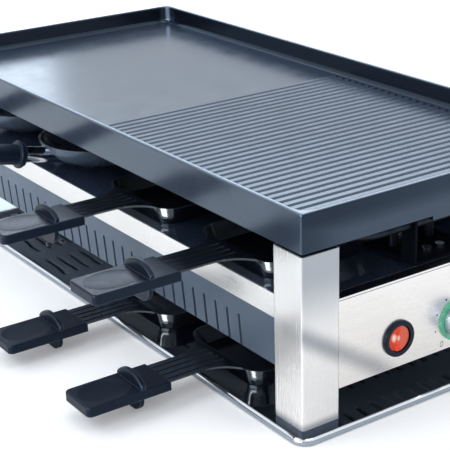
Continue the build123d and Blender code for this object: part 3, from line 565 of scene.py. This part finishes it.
def wrap(faces, first, rings, count, capped=True, downward=False):
    """Faces between rings of count points each and, where capped, over the last ring."""
    for ring in range(rings - 1):
        for k in range(count):
            a = first + ring * count + k
            b = first + ring * count + (k + 1) % count
            up, down = (a, b, b + count, a + count), (a, a + count, b + count, b)
            faces.append(down if downward else up)
    if capped:
        last = [first + (rings - 1) * count + k for k in range(count)]
        faces.append(last[::-1] if downward else last)


def printed_shape(points, faces, centre, outer, inner=None):
    """Ink on the panel round a centre (y, z): a dot, or a ring where inner is given."""
    count, proud, skin = 28, 0.02 * MM, 0.05 * MM
    outer_taper, inner_tapers = 0.9, (1.08, 1.06)
    x0 = panel_x + proud
    x1 = panel_x + proud + skin
    loops = [(outer, x0), (scaled(outer, outer_taper), x1)]
    if inner is not None:
        loops += [((inner[0] * inner_tapers[0], inner[1] * inner_tapers[1]), x1), (inner, x0)]
    first = len(points)
    for (wide, tall), x in loops:
        for k in range(count):
            turn = 2 * math.pi * k / count
            points.append((x, centre[0] + wide * math.sin(turn), centre[1] + tall * math.cos(turn)))
    wrap(faces, first, len(loops), count, capped=inner is None)


def dial_marks():
    """Dots on the panel that grow round the knob, after a zero."""
    dot_radius, zero_radius, zero_angle, steps = 17.8 * MM, 18.4 * MM, 140.6, 7
    step_angle = 257.0 / steps
    least_dot, growth = 0.5 * MM, 0.09 * MM
    zero_outer, zero_inner = (1.35 * MM, 2.0 * MM), (0.95 * MM, 1.6 * MM)
    knob_low, knob_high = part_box("control_knob")
    knob_y = (knob_low.y + knob_high.y) / 2
    knob_z = (knob_low.z + knob_high.z) / 2

    def spot(radius, step):
        angle = math.radians(zero_angle - step * step_angle)
        return knob_y - radius * math.sin(angle), knob_z + radius * math.cos(angle)

    points, faces = [], []
    for step in range(1, steps + 1):
        size = least_dot + growth * step
        printed_shape(points, faces, spot(dot_radius, step), (size, size))
    printed_shape(points, faces, spot(zero_radius, 0), zero_outer, zero_inner)
    ink = finish("dial_ink", linear(52, 56, 66), rough=0.5, mottle=(0.002, 0.12),
                 grain=(0.0003, 0.000004))
    ride_mesh("dial_marks", points, faces, ink, "grill_body")


def screw_from_below(points, faces, centre, top):
    """A domed head that hangs from a height, with a cross recess in it.

    A row is its radius and its drop, in millimetres, and how far the cross widens it."""
    rows = ((2.9, 0.0, 0.0), (2.95, 0.45, 0.0), (2.5, 1.15, 0.0), (1.7, 1.5, 0.0),
            (1.1, 1.55, 0.35), (0.75, 0.8, 0.35), (0.1, 0.75, 0.0))
    count, arms = 24, 4
    first = len(points)
    for radius, drop, cross in rows:
        for k in range(count):
            turn = 2 * math.pi * k / count
            reach = radius * (1 + cross * math.cos(arms * turn)) * MM
            points.append((centre[0] + reach * math.cos(turn), centre[1] + reach * math.sin(turn),
                           top - drop * MM))
    wrap(faces, first, len(rows), count, downward=True)


def bottom_screws():
    """Screws under the bottom plate, which are seen mirrored in the tray."""
    out_x, out_ys, sunk = 163.0 * MM, (55.5 * MM, 69.5 * MM), 0.02 * MM
    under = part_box("housing_bottom")[0].z + sunk
    points, faces = [], []
    for sx in (-1, 1):
        for sy in (-1, 1):
            for out_y in out_ys:
                screw_from_below(points, faces, (sx * out_x, sy * out_y), under)
    ride_mesh("bottom_screws", points, faces, looks["screw_steel"], "grill_body",
              smooth=True)


# The panel's face, behind its proud hem
hem_proud = 0.4 * MM
panel_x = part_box("control_panel")[1].x - hem_proud
dial_marks()
bottom_screws()


# Studio
def floor():
    """Pale paint, lifted to white for the camera only, so that the shadow stays."""
    half, lift = 6.0, 0.16
    mesh = bpy.data.meshes.new("floor")
    mesh.from_pydata([(-half, -half, 0), (half, -half, 0), (half, half, 0), (-half, half, 0)], [],
                     [(0, 1, 2, 3)])
    piece = bpy.data.objects.new("floor", mesh)
    bpy.context.scene.collection.objects.link(piece)
    material, tree, shader = start_material("floor_paint")
    shader.inputs["Base Color"].default_value = (0.95, 0.945, 0.94, 1)
    shader.inputs["Roughness"].default_value = 0.7
    shader.inputs["Specular IOR Level"].default_value = 0.2
    shader.inputs["Emission Color"].default_value = (1, 0.97, 0.97, 1)
    seen = times(tree, add(tree, "LightPath").outputs["Is Camera Ray"], lift)
    join(tree, seen, shader.inputs["Emission Strength"])
    mesh.materials.append(material)


def softbox(name, azimuth, elevation, distance, width, height, radiance, gloss_only=False,
            tint=(1, 1, 1)):
    """A soft lamp aimed at the grill. radiance is its brightness against a white of 1."""
    target = Vector((0, 0, 80 * MM))
    light = bpy.data.lights.new(name, "AREA")
    light.shape = "RECTANGLE"
    light.size, light.size_y = width, height
    light.energy = radiance * math.pi * width * height
    light.color = tint
    piece = bpy.data.objects.new(name, light)
    bpy.context.scene.collection.objects.link(piece)
    flat = math.cos(math.radians(elevation))
    away = Vector((flat * math.cos(math.radians(azimuth)), flat * math.sin(math.radians(azimuth)),
                   math.sin(math.radians(elevation))))
    piece.location = target + away * distance
    piece.rotation_euler = away.to_track_quat("Z", "Y").to_euler()
    piece.visible_diffuse = not gloss_only


def surroundings():
    """Cool white light from all round, and plain white where the camera looks past the floor."""
    world = bpy.data.worlds.new("studio")
    bpy.context.scene.world = world
    world.use_nodes = True
    tree = world.node_tree
    tree.nodes.clear()
    around, seen = add(tree, "Background"), add(tree, "Background")
    around.inputs["Color"].default_value = (0.89, 0.945, 1.0, 1)
    seen.inputs["Color"].default_value = (1, 1, 1, 1)
    mix = add(tree, "MixShader")
    join(tree, add(tree, "LightPath").outputs["Is Camera Ray"], mix.inputs["Fac"])
    join(tree, around.outputs["Background"], mix.inputs[1])
    join(tree, seen.outputs["Background"], mix.inputs[2])
    join(tree, mix.outputs["Shader"], add(tree, "OutputWorld").inputs["Surface"])


def camera():
    """The photograph's camera. picture and focal are in pixels and sensor in millimetres."""
    picture, focal, sensor = 450, 1321.0, 36.0
    eye = Vector((0.7928, -0.5338, 0.4011))
    forward = Vector((-0.7716, 0.5231, -0.3616)).normalized()
    right = Vector((0.5695, 0.8216, -0.0266))
    right = (right - forward * right.dot(forward)).normalized()
    up = right.cross(forward)
    data = bpy.data.cameras.new("camera")
    data.sensor_width = sensor
    data.lens = focal / picture * sensor
    data.clip_start, data.clip_end = 0.05, 50
    piece = bpy.data.objects.new("camera", data)
    bpy.context.scene.collection.objects.link(piece)
    turned = Matrix((right, up, -forward)).transposed().to_4x4()
    turned.translation = eye
    piece.matrix_world = turned
    bpy.context.scene.camera = piece


floor()
surroundings()
softbox("key_light", azimuth=-110, elevation=45, distance=1.9, width=0.9, height=0.6,
        radiance=4.2, tint=(0.9, 0.95, 1.0))
softbox("window_light", azimuth=-80, elevation=13, distance=1.9, width=1.6, height=0.7,
        radiance=16.0, gloss_only=True)
softbox("top_light", azimuth=20, elevation=80, distance=1.9, width=1.2, height=1.2, radiance=1.2)
softbox("back_light", azimuth=145, elevation=35, distance=2.0, width=1.5, height=0.8,
        radiance=3.8, tint=(0.78, 0.88, 1.0))
softbox("left_light", azimuth=174, elevation=16, distance=2.0, width=1.2, height=0.6,
        radiance=2.6, tint=(0.78, 0.88, 1.0))
camera()
bpy.context.scene.view_settings.view_transform = "Standard"
